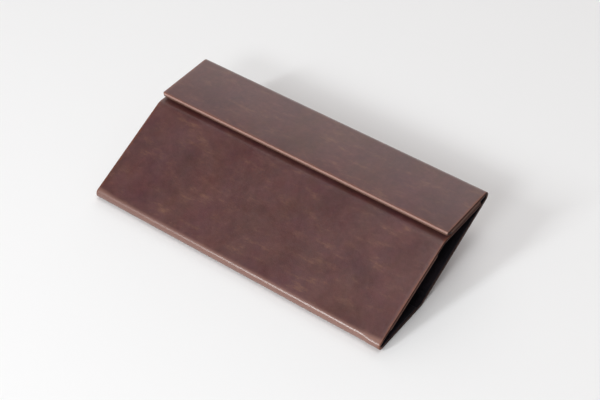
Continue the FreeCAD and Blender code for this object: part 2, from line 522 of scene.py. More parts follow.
@dataclass(frozen=True)
class PullUpGrain(Finish):
    """The grain side of waxed pull-up cowhide.

    The wax in it gives a low satin gloss and cloudy patches where it has moved. Rubs show as faint
    paler streaks, a worked fold turns pale and glossy, partly where bending has lightened the wax and partly
    as painted reflection and highlight, and the cut and burnished rim is warmer.
    half_length and strip_length say where the flat hide ends.
    """

    half_length: float
    strip_length: float
    clouds: tuple[tuple[str, str], ...] = (
        ("#3f1c1b", "#664240"),     # deep to light
        ("#4b2b33", "#5b3328"),     # plum to warm
        ("#4c352d", "#562a2e"),     # olive to rosy
    )
    rubbed: str = "#775240"
    # the fold colour: partly the wax lightened by bending, partly painted reflection of the pale floor and
    # painted highlight
    pulled_and_painted_light: str = "#8a665b"
    rim: str = "#80492f"
    cloud: float = 26 * MM
    rub: float = 14 * MM
    rub_slenderness: float = 3.2
    fleck: float = 3 * MM
    pore: float = 0.7 * MM
    rim_width: float = 1.5 * MM
    rim_wander: float = 3.0 * MM
    roughness: float = 0.36
    pulled_roughness: float = 0.30
    wax: float = 0.22

    def lay_nodes(self, tree: NodeTree, shader: Node) -> None:
        """Adds the hide's clouds, rubs, folds lightened by bending and by painted light, rim and pores, and
        sets the shader.

        Args:
            tree: the material's node tree.
            shader: its Principled shader.
        """
        place = add_node(tree, "Attribute", {"attribute_name": PLACE}).outputs["Vector"]
        tone, lightness = self.add_clouds(tree, place)
        tone, streaks = self.add_rubs(tree, place, tone, lightness)
        tone, worn_and_lit = self.add_worn_and_lit_folds(tree, tone, streaks)
        tone = self.add_rim(tree, place, tone, streaks)
        self.set_surface(tree, shader, tone, self.add_pores(tree, place), (0.35, 0.05 * MM), {
            "IOR": 1.5, "Coat Weight": self.wax, "Coat Roughness": 0.3})
        gloss = add_node(tree, "MapRange", None, {
            "Value": lightness, "To Min": self.roughness - 0.03, "To Max": self.roughness + 0.05})
        polished = add_node(tree, "Mix", {"data_type": "FLOAT"}, {
            0: worn_and_lit, 2: gloss.outputs["Result"], 3: self.pulled_roughness})
        tree.links.new(polished.outputs[0], shader.inputs["Roughness"])

    def add_clouds(self, tree: NodeTree, place: NodeSocket) -> tuple[NodeSocket, NodeSocket]:
        """Adds the wax clouds, from broad patches to mottling, and the fine flecks of full grain.

        Args:
            tree: the material's node tree.
            place: the place on the flat hide.

        Returns:
            The colour, and how light the first cloud is.
        """
        for turn, (first, second) in enumerate(self.clouds):
            moved = add_node(tree, "Mapping", None, {
                "Vector": place, "Location": (0.31 * turn, 0.17 * turn, 0.0),
                "Rotation": (0.0, 0.0, 0.7 * turn)})
            cloud = add_node(tree, "TexNoise", None, {
                "Vector": moved.outputs["Vector"], "Scale": 1 / self.cloud, "Detail": 7.0, "Roughness": 0.73,
                "Distortion": 0.3})
            share = add_node(tree, "MapRange", None, {
                "Value": cloud.outputs["Fac"], "From Min": 0.37, "From Max": 0.63}).outputs["Result"]
            layer = add_node(tree, "Mix", {"data_type": "RGBA"}, {
                "Factor": share, MIX_A: linear(first), MIX_B: linear(second)}).outputs[MIX_RESULT]
            if turn == 0:
                tone, lightness = layer, share
            else:
                tone = add_node(tree, "Mix", {"data_type": "RGBA"}, {
                    "Factor": 1 / (turn + 1), MIX_A: tone, MIX_B: layer}).outputs[MIX_RESULT]
        flecks = add_node(tree, "TexNoise", None, {
            "Vector": place, "Scale": 1 / self.fleck, "Detail": 4.0, "Roughness": 0.7})
        level = add_node(tree, "MapRange", None, {
            "Value": flecks.outputs["Fac"], "From Min": 0.3, "From Max": 0.7, "To Min": 0.88, "To Max": 1.12})
        flecked = add_node(tree, "VectorMath", {"operation": "SCALE"}, {
            0: tone, "Scale": level.outputs["Result"]})
        return flecked.outputs["Vector"], lightness

    def add_rubs(self, tree: NodeTree, place: NodeSocket, tone: NodeSocket,
                 lightness: NodeSocket) -> tuple[NodeSocket, NodeSocket]:
        """Adds rubs: short pale streaks in the lighter clouds, where the wax was pushed aside at a slant.

        Args:
            tree: the material's node tree.
            place: the place on the flat hide.
            tone: the colour so far.
            lightness: how light the clouds are.

        Returns:
            The colour, and the streaky noise.
        """
        slant = add_node(tree, "Mapping", None, {
            "Vector": place, "Rotation": (0.0, 0.0, 0.6), "Scale": (1.0, self.rub_slenderness, 1.0)})
        streaks = add_node(tree, "TexNoise", None, {
            "Vector": slant.outputs["Vector"], "Scale": 1 / self.rub, "Detail": 6.0, "Roughness": 0.72})
        rubs = add_node(tree, "MapRange", {"interpolation_type": "SMOOTHSTEP"}, {
            "Value": streaks.outputs["Fac"], "From Min": 0.50, "From Max": 0.74, "To Max": 0.8})
        rubs = add_node(tree, "Math", {"operation": "MULTIPLY"}, {0: rubs.outputs["Result"], 1: lightness})
        tone = add_node(tree, "Mix", {"data_type": "RGBA"}, {
            "Factor": rubs.outputs[0], MIX_A: tone, MIX_B: linear(self.rubbed)})
        return tone.outputs[MIX_RESULT], streaks.outputs["Fac"]

    def add_worn_and_lit_folds(self, tree: NodeTree, tone: NodeSocket,
                       streaks: NodeSocket) -> tuple[NodeSocket, NodeSocket]:
        """Lightens the worked folds, where the wax has drawn away and the skin is stretched and polished, and
        in the same colour paints the reflection of the pale floor and a highlight on them.

        Args:
            tree: the material's node tree.
            tone: the colour so far.
            streaks: the streaky noise.

        Returns:
            The colour, and how worn the grain is.
        """
        wear_and_light = add_node(tree, "Attribute", {"attribute_name": WEAR_AND_LIGHT}).outputs["Fac"]
        uneven = add_node(tree, "Math", {"operation": "MULTIPLY_ADD"}, {0: streaks, 1: 0.5, 2: -0.25})
        worn_and_lit = add_node(tree, "Math", {"operation": "MULTIPLY_ADD", "use_clamp": True}, {
            0: uneven.outputs[0], 1: wear_and_light, 2: wear_and_light}).outputs[0]
        tone = add_node(tree, "Mix", {"data_type": "RGBA"}, {
            "Factor": worn_and_lit, MIX_A: tone, MIX_B: linear(self.pulled_and_painted_light)})
        return tone.outputs[MIX_RESULT], worn_and_lit

    def add_rim(self, tree: NodeTree, place: NodeSocket, tone: NodeSocket, streaks: NodeSocket) -> NodeSocket:
        """Adds the burnished rim along every raw edge of the strip.

        Args:
            tree: the material's node tree.
            place: the place on the flat hide.
            tone: the colour so far.
            streaks: the streaky noise, which makes the rim's width wander.

        Returns:
            The colour.
        """
        parts = add_node(tree, "SeparateXYZ", None, {"Vector": place})
        across = add_node(tree, "Math", {"operation": "ABSOLUTE"}, {0: parts.outputs["X"]})
        from_end = add_node(tree, "Math", {"operation": "SUBTRACT"}, {
            0: self.half_length, 1: across.outputs[0]})
        from_flap = add_node(tree, "Math", {"operation": "SUBTRACT"}, {
            0: self.strip_length, 1: parts.outputs["Y"]})
        nearest = parts.outputs["Y"]
        for edge in (from_flap, from_end):
            nearest = add_node(tree, "Math", {"operation": "MINIMUM"}, {
                0: nearest, 1: edge.outputs[0]}).outputs[0]
        ragged = add_node(tree, "Math", {"operation": "MULTIPLY_ADD"}, {
            0: streaks, 1: self.rim_wander, 2: -self.rim_wander / 2})
        nearest = add_node(tree, "Math", {"operation": "ADD"}, {0: nearest, 1: ragged.outputs[0]})
        rim = add_node(tree, "MapRange", {"interpolation_type": "SMOOTHSTEP"}, {
            "Value": nearest.outputs[0], "From Min": 0.0, "From Max": self.rim_width,
            "To Min": 0.6, "To Max": 0.0})
        return add_node(tree, "Mix", {"data_type": "RGBA"}, {
            "Factor": rim.outputs["Result"], MIX_A: tone, MIX_B: linear(self.rim)}).outputs[MIX_RESULT]

    def add_pores(self, tree: NodeTree, place: NodeSocket) -> NodeSocket:
        """Adds pores and creases, about 0.2 mm apart on the real grain, drawn coarser so that they show.

        Args:
            tree: the material's node tree.
            place: the place on the flat hide.

        Returns:
            The relief's height.
        """
        pores = add_node(tree, "TexNoise", None, {
            "Vector": place, "Scale": 1 / self.pore, "Detail": 2.0, "Roughness": 0.6})
        folds = add_node(tree, "TexVoronoi", {"feature": "DISTANCE_TO_EDGE"}, {
            "Vector": place, "Scale": 1 / (3.5 * self.pore), "Randomness": 1.0})
        creased = add_node(tree, "MapRange", {"interpolation_type": "SMOOTHSTEP"}, {
            "Value": folds.outputs["Distance"], "From Min": 0.0, "From Max": 0.12,
            "To Min": -0.5, "To Max": 0.0})
        return add_node(tree, "Math", {"operation": "ADD"}, {
            0: pores.outputs["Fac"], 1: creased.outputs["Result"]}).outputs[0]


@dataclass(frozen=True)
class CutHide(Finish):
    """A raw cut edge of the hide: fibres between a burnished grain line and a dark glue line."""

    thickness: float
    burnished: str
    fibre: str
    glued: str = "#231511"
    strand: float = 1.2 * MM
    roughness: float = 0.45
    specular: float = 0.4

    def lay_nodes(self, tree: NodeTree, shader: Node) -> None:
        """Adds the layers and fibres of the cut edge, and sets the shader.

        Args:
            tree: the material's node tree.
            shader: its Principled shader.
        """
        place = add_node(tree, "Attribute", {"attribute_name": PLACE}).outputs["Vector"]
        parts = add_node(tree, "SeparateXYZ", None, {"Vector": place})
        stretched = add_node(tree, "Mapping", None, {"Vector": place, "Scale": (1.0, 1.0, 4.0)})
        fibres = add_node(tree, "TexNoise", None, {
            "Vector": stretched.outputs["Vector"], "Scale": 1 / self.strand, "Detail": 3.0,
            "Roughness": 0.6}).outputs["Fac"]
        level = add_node(tree, "Math", {"operation": "DIVIDE"}, {0: parts.outputs["Z"], 1: self.thickness})
        level = add_node(tree, "Math", {"operation": "MULTIPLY_ADD"}, {
            0: fibres, 1: 0.16, 2: level.outputs[0]})
        open_fibre = add_node(tree, "MapRange", {"interpolation_type": "SMOOTHSTEP"}, {
            "Value": level.outputs[0], "From Min": 0.1, "From Max": 0.45})
        tone = add_node(tree, "Mix", {"data_type": "RGBA"}, {
            "Factor": open_fibre.outputs["Result"], MIX_A: linear(self.burnished), MIX_B: linear(self.fibre)})
        dyed = self.dye(tree, parts.outputs["Y"], tone.outputs[MIX_RESULT])
        glue = add_node(tree, "MapRange", {"interpolation_type": "SMOOTHSTEP"}, {
            "Value": level.outputs[0], "From Min": 0.88, "From Max": 1.08})
        tone = add_node(tree, "Mix", {"data_type": "RGBA"}, {
            "Factor": glue.outputs["Result"], MIX_A: dyed, MIX_B: linear(self.glued)})
        speck = add_node(tree, "MapRange", None, {
            "Value": fibres, "From Min": 0.3, "From Max": 0.7, "To Min": 0.86, "To Max": 1.12})
        tone = add_node(tree, "Mix", {"data_type": "RGBA", "blend_type": "MULTIPLY"}, {
            "Factor": 1.0, MIX_A: tone.outputs[MIX_RESULT], MIX_B: speck.outputs["Result"]})
        self.set_surface(tree, shader, tone.outputs[MIX_RESULT], fibres, (0.5, 0.06 * MM), {
            "Roughness": self.roughness, "Specular IOR Level": self.specular})

    def dye(self, tree: NodeTree, along: NodeSocket, tone: NodeSocket) -> NodeSocket:
        """Adds dyes over the fibres. A sanded free edge has none.

        Args:
            tree: the material's node tree.
            along: the distance along the strip.
            tone: the fibres' colour.

        Returns:
            The colour.
        """
        return tone


@dataclass(frozen=True)
class DyedEnds(CutHide):
    """The cut ends of the hide, dyed dark, painted near black on the base and back as shade, and pale at the
    front fold, partly from bending and partly as painted light.

    front_fold and painted_shade_span say where those stretches start and end along the strip.
    """

    front_fold: tuple[float, float] = (0.0, 0.0)
    painted_shade_span: tuple[float, float] = (0.0, 0.0)
    # pale front fold ends: partly bending, partly painted light
    pulled_and_painted_light: str = "#8a6152"
    # painted shade: the base and back ends made near black where they sit in shade
    black: str = "#1c0e0e"
    pale_fold_fade: float = 2.0 * MM
    black_fade: float = 1.5 * MM

    def dye(self, tree: NodeTree, along: NodeSocket, tone: NodeSocket) -> NodeSocket:
        """Adds the pale stretch, partly from bending and partly painted light, and the stretch of painted
        shade.

        Args:
            tree: the material's node tree.
            along: the distance along the strip.
            tone: the fibres' colour.

        Returns:
            The colour.
        """
        for (first, last), colour, fade in (
                (self.front_fold, self.pulled_and_painted_light, self.pale_fold_fade),
                (self.painted_shade_span, self.black, self.black_fade)):
            above = add_node(tree, "MapRange", None, {
                "Value": along, "From Min": first - fade, "From Max": first + fade})
            below = add_node(tree, "MapRange", None, {
                "Value": along, "From Min": last - fade, "From Max": last + fade,
                "To Min": 1.0, "To Max": 0.0})
            inside = add_node(tree, "Math", {"operation": "MINIMUM"}, {
                0: above.outputs["Result"], 1: below.outputs["Result"]})
            tone = add_node(tree, "Mix", {"data_type": "RGBA"}, {
                "Factor": inside.outputs[0], MIX_A: tone, MIX_B: linear(colour)}).outputs[MIX_RESULT]
        return tone


@dataclass(frozen=True)
class FleshSide(Finish):
    """The hide's sueded back, which shows only where a fold opens."""

    nap: str = "#6e4f43"
    fibre: float = 0.8 * MM

    def lay_nodes(self, tree: NodeTree, shader: Node) -> None:
        """Adds the nap of the flesh side, and sets the shader.

        Args:
            tree: the material's node tree.
            shader: its Principled shader.
        """
        place = add_node(tree, "Attribute", {"attribute_name": PLACE}).outputs["Vector"]
        nap = add_node(tree, "TexNoise", None, {
            "Vector": place, "Scale": 1 / self.fibre, "Detail": 3.0, "Roughness": 0.7}).outputs["Fac"]
        shade = add_node(tree, "MapRange", None, {
            "Value": nap, "From Min": 0.3, "From Max": 0.7, "To Min": 0.75, "To Max": 1.15})
        tone = add_node(tree, "Mix", {"data_type": "RGBA", "blend_type": "MULTIPLY"}, {
            "Factor": 1.0, MIX_A: linear(self.nap), MIX_B: shade.outputs["Result"]})
        self.set_surface(tree, shader, tone.outputs[MIX_RESULT], nap, (0.6, 0.1 * MM), {"Roughness": 0.9})


@dataclass(frozen=True)
class Microsuede(Finish):
    """Near-black microfibre suede: a matt knit whose brushed nap lightens a little at a low angle."""

    nap: str = "#131217"
    brushed: str = "#241d23"
    sheen: str = "#5a5a66"
    fibre: float = 0.9 * MM
    brush_mark: float = 14 * MM

    def lay_nodes(self, tree: NodeTree, shader: Node) -> None:
        """Adds the nap and its brush marks, and sets the shader.

        Args:
            tree: the material's node tree.
            shader: its Principled shader.
        """
        place = add_node(tree, "TexCoord").outputs["Object"]
        nap = add_node(tree, "TexNoise", None, {
            "Vector": place, "Scale": 1 / self.fibre, "Detail": 3.0, "Roughness": 0.7}).outputs["Fac"]
        marks = add_node(tree, "TexNoise", None, {
            "Vector": place, "Scale": 1 / self.brush_mark, "Detail": 2.0, "Roughness": 0.5,
            "Distortion": 0.8})
        brushed = add_node(tree, "MapRange", {"interpolation_type": "SMOOTHSTEP"}, {
            "Value": marks.outputs["Fac"], "From Min": 0.42, "From Max": 0.62, "To Max": 0.6})
        speck = add_node(tree, "Math", {"operation": "MULTIPLY_ADD"}, {
            0: nap, 1: 0.5, 2: brushed.outputs["Result"]})
        tone = add_node(tree, "Mix", {"data_type": "RGBA", "clamp_factor": True}, {
            "Factor": speck.outputs[0], MIX_A: linear(self.nap), MIX_B: linear(self.brushed)})
        self.set_surface(tree, shader, tone.outputs[MIX_RESULT], nap, (0.5, 0.08 * MM), {
            "Roughness": 0.95, "Specular IOR Level": 0.2, "Sheen Weight": 0.15, "Sheen Roughness": 0.5,
            "Sheen Tint": linear(self.sheen)})


@dataclass(frozen=True)
class BondedLeather(Finish):
    """Bonded leather fibre board: pressed brown fibre, seen as the second layer at the panel ends."""

    fibre: str
    dark: str
    clump: float = 1.4 * MM

    def lay_nodes(self, tree: NodeTree, shader: Node) -> None:
        """Adds the pressed fibre, and sets the shader.

        Args:
            tree: the material's node tree.
            shader: its Principled shader.
        """
        place = add_node(tree, "TexCoord").outputs["Object"]
        fibres = add_node(tree, "TexNoise", None, {
            "Vector": place, "Scale": 1 / self.clump, "Detail": 4.0, "Roughness": 0.65}).outputs["Fac"]
        share = add_node(tree, "MapRange", {"interpolation_type": "SMOOTHSTEP"}, {
            "Value": fibres, "From Min": 0.35, "From Max": 0.6, "To Min": 0.35})
        tone = add_node(tree, "Mix", {"data_type": "RGBA"}, {
            "Factor": share.outputs["Result"], MIX_A: linear(self.dark), MIX_B: linear(self.fibre)})
        self.set_surface(tree, shader, tone.outputs[MIX_RESULT], fibres, (0.5, 0.08 * MM), {
            "Roughness": 0.8, "Specular IOR Level": 0.1})


@dataclass(frozen=True)
class LiningSkin(Finish):
    """The thin second skin under the flap: smooth dark leather, pale only where its free edge is cut.

    half_length and free_edge say where the skin ends along X and in front.
    """

    half_length: float
    free_edge: float
    skin: str = "#3b2624"
    grain: str = "#46302b"
    cut: str = "#9c7361"
    dyed: str = "#2a1916"
    pore: float = 0.9 * MM

    def lay_nodes(self, tree: NodeTree, shader: Node) -> None:
        """Adds the skin's grain and its cut edges, and sets the shader.

        Args:
            tree: the material's node tree.
            shader: its Principled shader.
        """
        place = add_node(tree, "TexCoord").outputs["Object"]
        parts = add_node(tree, "SeparateXYZ", None, {"Vector": place})
        grain = add_node(tree, "TexNoise", None, {
            "Vector": place, "Scale": 1 / self.pore, "Detail": 3.0, "Roughness": 0.6}).outputs["Fac"]
        tone = add_node(tree, "Mix", {"data_type": "RGBA"}, {
            "Factor": grain, MIX_A: linear(self.skin), MIX_B: linear(self.grain)})
        from_front = add_node(tree, "Math", {"operation": "SUBTRACT"}, {
            0: parts.outputs["Y"], 1: self.free_edge})
        across = add_node(tree, "Math", {"operation": "ABSOLUTE"}, {0: parts.outputs["X"]})
        from_end = add_node(tree, "Math", {"operation": "SUBTRACT"}, {
            0: self.half_length, 1: across.outputs[0]})
        for distance, near, far, colour in (
                (from_front, 0.05 * MM, 0.3 * MM, self.cut),
                (from_end, 0.1 * MM, 0.3 * MM, self.dyed)):
            at_cut = add_node(tree, "MapRange", None, {
                "Value": distance.outputs[0], "From Min": near, "From Max": far,
                "To Min": 1.0, "To Max": 0.0})
            tone = add_node(tree, "Mix", {"data_type": "RGBA"}, {
                "Factor": at_cut.outputs["Result"], MIX_A: tone.outputs[MIX_RESULT], MIX_B: linear(colour)})
        self.set_surface(tree, shader, tone.outputs[MIX_RESULT], grain, (0.4, 0.05 * MM), {
            "Roughness": 0.6, "Specular IOR Level": 0.2})


@dataclass(frozen=True)
class PlatedDisc(Finish):
    """A metal disc of the closure: bright nickel on the magnets, brushed steel on the keepers."""

    metal: str
    roughness: float
    scratch: float = 0.6 * MM

    def lay_nodes(self, tree: NodeTree, shader: Node) -> None:
        """Adds fine handling scratches, and sets the shader.

        Args:
            tree: the material's node tree.
            shader: its Principled shader.
        """
        place = add_node(tree, "TexCoord").outputs["Object"]
        drawn = add_node(tree, "Mapping", None, {"Vector": place, "Scale": (0.15, 1.0, 1.0)})
        lines = add_node(tree, "TexNoise", None, {
            "Vector": drawn.outputs["Vector"], "Scale": 1 / self.scratch, "Detail": 3.0, "Roughness": 0.6})
        gloss = add_node(tree, "MapRange", None, {
            "Value": lines.outputs["Fac"], "From Min": 0.3, "From Max": 0.7,
            "To Min": self.roughness * 0.8, "To Max": self.roughness * 1.3})
        tree.links.new(gloss.outputs["Result"], shader.inputs["Roughness"])
        shader.inputs["Base Color"].default_value = linear(self.metal)
        shader.inputs["Metallic"].default_value = 1.0


@dataclass(frozen=True)
class StudioPaper(Finish):
    """Matt background paper that glows, as painted light, far from the case, which keeps it pale there.

    glow is how much the painted glow adds, from none at the distance near to all of it at far.
    """

    shade: str = "#f3f3f3"
    painted_glow: str = "#ffffff"
    near: float = 0.6
    far: float = 2.4
    glow: float = 0.6

    def lay_nodes(self, tree: NodeTree, shader: Node) -> None:
        """Adds the far glow and sets the shader.

        Args:
            tree: the material's node tree.
            shader: its Principled shader.
        """
        place = add_node(tree, "TexCoord").outputs["Object"]
        distance = add_node(tree, "VectorMath", {"operation": "LENGTH"}, {0: place})
        # painted light: the paper emits light far from the case
        glow = add_node(tree, "MapRange", {"interpolation_type": "SMOOTHSTEP"}, {
            "Value": distance.outputs["Value"], "From Min": self.near, "From Max": self.far,
            "To Max": self.glow})
        tree.links.new(glow.outputs["Result"], shader.inputs["Emission Strength"])
        shader.inputs["Emission Color"].default_value = linear(self.painted_glow)
        shader.inputs["Base Color"].default_value = linear(self.shade)
        shader.inputs["Roughness"].default_value = 0.85
        shader.inputs["Specular IOR Level"].default_value = 0.1


@dataclass(frozen=True)
class Finishes:
    """Every finish of the case."""

    grain: PullUpGrain
    free_edge: CutHide
    ends: DyedEnds
    flesh: FleshSide
    suede: Microsuede
    skin: LiningSkin
    board: BondedLeather
    # the base and back boards, made dark as painted shade where their ends sit in shade
    shade_painted_board: BondedLeather
    magnet: PlatedDisc
    keeper: PlatedDisc

    def hide_sides(self) -> list[Material]:
        """Materials of a piece of hide, in the order of Face."""
        return [finish.material() for finish in (self.grain, self.free_edge, self.flesh, self.ends)]

    def suede_sides(self) -> list[Material]:
        """Materials of a piece of lining, in the order of Face."""
        return [self.suede.material()] * len(Face)


# ---------------------------------------------------------------- cutting pieces from the strip

# how far off the grain face, or off a seam, a point still counts as on it
GRAIN_SLACK = 0.03 * MM
SEAM_SLACK = 0.01 * MM
# how far from the ends a fold that is worked there has its lines of the mesh
WORKED_COLUMNS = [step * MM for step in (
    1.0, 2.0, 3.5, 5.0, 6.5, 8.0, 9.0, 10.0, 11.5, 13.5, 17.0, 25.0, 40.0, 60.0)]
# and how far a flat panel has its one line, clear of the rounded corners
PANEL_COLUMNS = [2.5 * MM]


@dataclass(frozen=True)
class Cutter:
    """Cuts pieces of hide or lining to one thickness and gives them their raw edges.

    half_length is half the piece's length along X, corner the radius of its free corners and edge_round
    the radius of its raw edges on the outer face. depth is how far this layer lies under the grain face.
    """

    half_length: float
    thickness: float
    depth: float
    corner: float
    edge_round: float

    def piece(self, name: str, strip: Strip, materials: Sequence[Material], free: FreeEdge = FreeEdge.NONE,
              columns: Sequence[float] = PANEL_COLUMNS, spacing: float = math.inf,
              worked: Callable[[float, float], float] | None = None,
              wear_and_light: Callable[[float, float], float] | None = None) -> Object:
        """Makes one piece of the strip as a closed slab.

        Args:
            name: the piece's name.
            strip: its stretch of the strip's grain face.
            materials: its materials, in the order of Face.
            free: which end is a raw free edge.
            columns: how far from both ends the mesh has its lines along the strip.
            spacing: the widest step between two rows of the mesh.
            worked: how far a point at x and path is pushed out of its plain place.
            wear_and_light: how light the grain is at x and path, from bending and from painted reflection and
                highlight.

        Returns:
            The object, in its place.
        """
        layer = strip.lowered(self.depth)
        mesh = bmesh.new()
        row = self.first_row(mesh, layer, columns)
        for stretch in layer.stretches:
            row = stretch.lay(mesh, row, spacing)
        bmesh.ops.remove_doubles(mesh, verts=mesh.verts, dist=0.1 * SAME_PLACE)
        if free is not FreeEdge.NONE:
            self.round_corners(mesh, layer, free)
        self.face_outwards(mesh, layer)
        bmesh.ops.solidify(mesh, geom=mesh.faces[:], thickness=self.thickness)
        if self.edge_round > 0:
            bmesh.ops.bevel(
                mesh, geom=self.raw_edges(mesh, layer, free), offset=self.edge_round,
                offset_type="OFFSET", affect="EDGES", segments=3, profile=0.5, material=-1,
                clamp_overlap=True)
        bmesh.ops.recalc_face_normals(mesh, faces=mesh.faces)
        self.sort_faces(mesh, layer)
        self.mark_points(mesh, layer, worked, wear_and_light)
        return add_object(name, mesh, materials)

    def first_row(self, mesh: BMesh, strip: Strip, columns: Sequence[float]) -> list[BMEdge]:
        """Makes the row of edges across the hide where the strip starts.

        Args:
            mesh: the mesh under work.
            strip: the piece's stretch of the strip.
            columns: how far from both ends the mesh has its lines.

        Returns:
            The row's edges.
        """
        side = [self.half_length] + [self.half_length - step for step in columns]
        places = [-x for x in side] + [0.0] + side[::-1]
        tip = bmesh.ops.create_vert(mesh, co=(places[0], strip.start.y, strip.start.z))["vert"]
        edges = []
        for before, after in zip(places, places[1:]):
            made = bmesh.ops.extrude_vert_indiv(mesh, verts=tip)
            tip = made["verts"]
            edges += made["edges"]
            bmesh.ops.translate(mesh, verts=tip, vec=(after - before, 0.0, 0.0))
        return edges

    def round_corners(self, mesh: BMesh, strip: Strip, free: FreeEdge) -> None:
        """Rounds the two corners at the free edge of a flat skin.

        Args:
            mesh: the mesh under work, still without thickness.
            strip: the piece's stretch of the strip.
            free: which end is free.
        """
        free_path = strip.first if free is FreeEdge.FIRST else strip.last
        corners = [
            vert for vert in mesh.verts
            if abs(abs(vert.co.x) - self.half_length) < SAME_PLACE
            and abs(strip.locate(vert.co)[0] - free_path) < SAME_PLACE
        ]
        bmesh.ops.bevel(
            mesh, geom=corners, offset=self.corner, offset_type="OFFSET", affect="VERTICES",
            segments=6, profile=0.5, material=-1, clamp_overlap=True)

    @staticmethod
    def face_outwards(mesh: BMesh, layer: Strip, step: float = 0.1 * MM) -> None:
        """Turns a skin's faces so that they all look outwards.

        Args:
            mesh: the mesh under work, still without thickness.
            layer: the piece's stretch of this layer.
            step: how far ahead of a face the depth is compared.
        """
        bmesh.ops.recalc_face_normals(mesh, faces=mesh.faces)
        mesh.faces.ensure_lookup_table()
        face = mesh.faces[0]
        face.normal_update()
        centre = face.calc_center_median()
        _, depth = layer.locate(centre)
        _, depth_ahead = layer.locate(centre + face.normal * step)
        if depth_ahead > depth:
            bmesh.ops.reverse_faces(mesh, faces=mesh.faces)

    @staticmethod
    def raw_edges(mesh: BMesh, strip: Strip, free: FreeEdge, sharp: float = math.radians(60)) -> list[BMEdge]:
        """Finds the outer edges along the ends and the free edge, which are burnished round.

        Args:
            mesh: the mesh under work, with its thickness.
            strip: the piece's stretch of the strip.
            free: which end is free.
            sharp: the least angle between the faces of such an edge.

        Returns:
            The edges, without those where this piece meets its neighbours.
        """
        seams = {
            FreeEdge.NONE: (strip.first, strip.last),
            FreeEdge.FIRST: (strip.last,),
            FreeEdge.LAST: (strip.first,),
        }[free]
        found = []
        for edge in mesh.edges:
            places = [strip.locate(vert.co) for vert in edge.verts]
            outer = all(abs(depth) <= GRAIN_SLACK for _, depth in places)
            at_seam = any(all(abs(path - seam) < SEAM_SLACK for path, _ in places) for seam in seams)
            if outer and not at_seam and len(edge.link_faces) == 2 and edge.calc_face_angle(0.0) >= sharp:
                found.append(edge)
        return found

    def sort_faces(self, mesh: BMesh, layer: Strip, skin: float = 0.04,
                   crisp: float = math.radians(40)) -> None:
        """Gives each face the material of its side, and keeps the cut edges crisp.

        Args:
            mesh: the closed slab.
            layer: the piece's stretch of this layer.
            skin: how deep a face of the outside or inside may lie, as a share of the thickness.
            crisp: the least angle between two faces that shows as an edge.
        """
        mesh.normal_update()
        for face in mesh.faces:
            _, depth = layer.locate(face.calc_center_median())
            share = depth / self.thickness
            if share < skin:
                side = Face.OUTER
            elif share > 1 - skin:
                side = Face.INNER
            else:
                side = Face.END if face.normal.x ** 2 > 0.2 else Face.FREE_EDGE
            face.material_index = side.value
            face.smooth = True
        for edge in mesh.edges:
            edge.smooth = edge.calc_face_angle(0.0) < crisp

    def mark_points(self, mesh: BMesh, layer: Strip, worked: Callable[[float, float], float] | None,
                    wear_and_light: Callable[[float, float], float] | None) -> None:
        """Writes each point's place on the flat hide and how light its fold is, from bending and from painted
        light, then pushes out what is worked.

        Args:
            mesh: the closed slab.
            layer: the piece's stretch of this layer.
            worked: how far a point is pushed out.
            wear_and_light: how light the grain is, from bending and from painted light.
        """
        place = mesh.verts.layers.float_vector.new(PLACE)
        worn_and_lit = mesh.verts.layers.float.new(WEAR_AND_LIGHT)
        moves = {}
        for vert in mesh.verts:
            path, depth = layer.locate(vert.co)
            vert[place] = (vert.co.x, path, depth + self.depth)
            vert[worn_and_lit] = wear_and_light(vert.co.x, path) if wear_and_light else 0.0
            if worked:
                moves[vert] = self.outward(layer, vert.co) * worked(vert.co.x, path)
        for vert, move in moves.items():
            vert.co += move

    @staticmethod
    def outward(layer: Strip, point: Vector, step: float = 0.01 * MM) -> Vector:
        """Finds the direction out of the hide's face from how the depth changes near a point.

        Args:
            layer: the piece's stretch of this layer.
            point: the point.
            step: how far away the depth is compared.

        Returns:
            A unit vector in the section.
        """
        slope = Vector()
        for axis in (1, 2):
            aside = Vector()
            aside[axis] = step
            slope[axis] = layer.locate(point - aside)[1] - layer.locate(point + aside)[1]
        return slope.normalized()


# ---------------------------------------------------------------- the case

